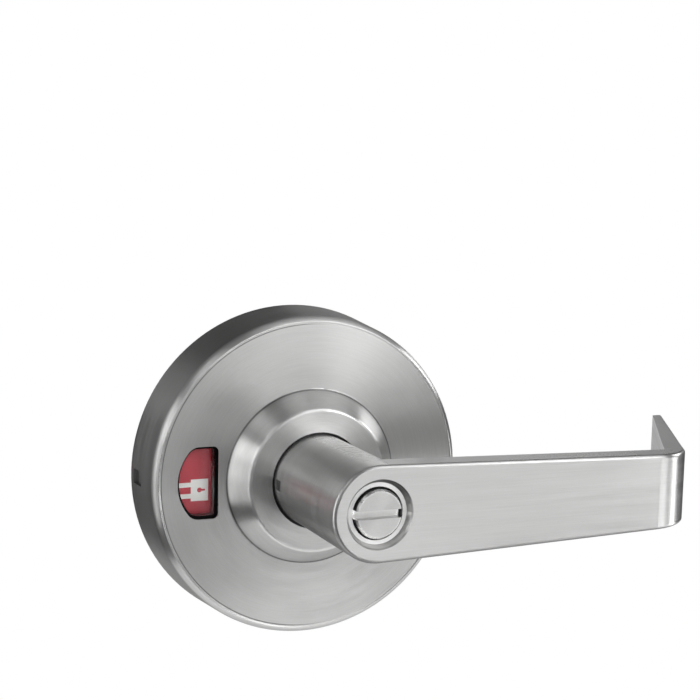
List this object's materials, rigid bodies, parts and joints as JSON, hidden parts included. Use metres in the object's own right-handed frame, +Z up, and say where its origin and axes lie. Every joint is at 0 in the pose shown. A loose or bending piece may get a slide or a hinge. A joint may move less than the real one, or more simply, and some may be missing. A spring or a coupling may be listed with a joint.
{
  "type": "privacy lever lockset outside unit",
  "caption": "Privacy lever on a round rose with a locked and unlocked indicator window, a coin turn, and the cylindrical chassis that draws the latch.",
  "frame": {"origin": "on the lever's axis at the outside face of the door, midway between the two posts", "axes": "+Z up, -Y out of the door towards the person who uses the lever, +X along the lever's blade"},
  "size_m": [0.1716, 0.1303, 0.0946],
  "materials": {
    "rose_nickel": "satin nickel, turned on the face and brushed round the skirt",
    "lever_nickel": "satin nickel, brushed round the neck and along the blade",
    "turn_nickel": "satin nickel, turned",
    "black_plastic": "moulded black",
    "clear_plastic": "clear, polished",
    "nylon": "black nylon",
    "wheel_plastic": "moulded, light grey",
    "red_print": "printed film",
    "green_print": "printed film",
    "grey_print": "printed film",
    "zinc_plate": "zinc plated steel",
    "zinc_casting": "die-cast zinc, as cast",
    "spring_steel": "spring steel",
    "screw_steel": "zinc plated steel",
    "brass": "plain brass"
  },
  "bodies": {
    "rose_and_chassis": {"rose": "rose_nickel", "window_frame": "black_plastic", "window_lens": "clear_plastic", "rose_bushing": "nylon", "rose_mounting_plate": "zinc_plate", "mounting_posts": "zinc_plate", "spring_cage": "zinc_casting", "cage_screws": "screw_steel", "cage_cover": "zinc_plate", "cover_screws": "screw_steel", "return_spring": "spring_steel", "adjusting_ring": "zinc_casting", "outside_hub": "zinc_casting", "chassis_frame": "zinc_casting", "latch_keeper": "zinc_plate", "inside_hub": "zinc_casting", "hub_screws": "screw_steel", "retractor_springs": "spring_steel"},
    "lever": {"lever": "lever_nickel", "outer_spindle": "zinc_plate", "spring_driver": "zinc_casting", "spindle_clip": "spring_steel", "lever_catch_spring": "spring_steel"},
    "catch": {"lever_catch": "screw_steel"},
    "clutch": {"clutch_dog": "zinc_casting"},
    "coin_turn": {"turn_button": "turn_nickel", "turn_clip": "spring_steel", "turn_bar": "brass", "indicator_driver": "zinc_casting", "lock_cam": "zinc_casting"},
    "indicator": {"indicator_wheel": "wheel_plastic", "red_label": "red_print", "green_label": "green_print", "locked_symbol": "grey_print", "unlocked_symbol": "grey_print"},
    "drive": {"retractor_cam": "zinc_casting", "inside_spindle": "zinc_plate", "inside_spindle_clip": "spring_steel", "clutch_spring": "spring_steel"},
    "retractor": {"retractor": "zinc_casting"}
  },
  "joints": [
    {"name": "lever_turn", "type": "hinge", "parent": "rose_and_chassis", "child": "lever", "pos_m": [0, 0, 0], "axis": [0, 1, 0], "range_deg": [0, 55], "stiffness_Nm_per_rad": 0.9, "springref_deg": -25.78, "deforming": ["return_spring"]},
    {"name": "catch_press", "type": "slide", "parent": "lever", "child": "catch", "axis": [1, 0, 0], "range_m": [0, 0.0026], "stiffness_N_per_m": 600, "springref_m": -0.001, "deforming": ["lever_catch_spring"]},
    {"name": "coin_turn", "type": "hinge", "parent": "rose_and_chassis", "child": "coin_turn", "pos_m": [0, 0, 0], "axis": [0, -1, 0], "range_deg": [0, 90]},
    {"name": "indicator_turn", "type": "hinge", "parent": "rose_and_chassis", "child": "indicator", "pos_m": [0, 0, 0], "axis": [0, -1, 0], "range_deg": [0, 90]},
    {"name": "clutch_slide", "type": "slide", "parent": "lever", "child": "clutch", "axis": [0, 1, 0], "range_m": [0, 0.002], "deforming": ["clutch_spring"]},
    {"name": "drive_turn", "type": "hinge", "parent": "rose_and_chassis", "child": "drive", "pos_m": [0, 0, 0], "axis": [0, 1, 0], "range_deg": [0, 55]},
    {"name": "retractor_slide", "type": "slide", "parent": "rose_and_chassis", "child": "retractor", "axis": [1, 0, 0], "range_m": [0, 0.01275], "deforming": ["retractor_springs"]}
  ],
  "couplings": [
    {"joint": "indicator_turn", "follows": "coin_turn", "ratio": 1},
    {"joint": "clutch_slide", "follows": "coin_turn", "m_per_rad": 0.001273},
    {"joint": "drive_turn", "follows": "lever_turn", "ratio": 1},
    {"joint": "retractor_slide", "follows": "lever_turn", "m_per_rad": 0.013276}
  ]
}
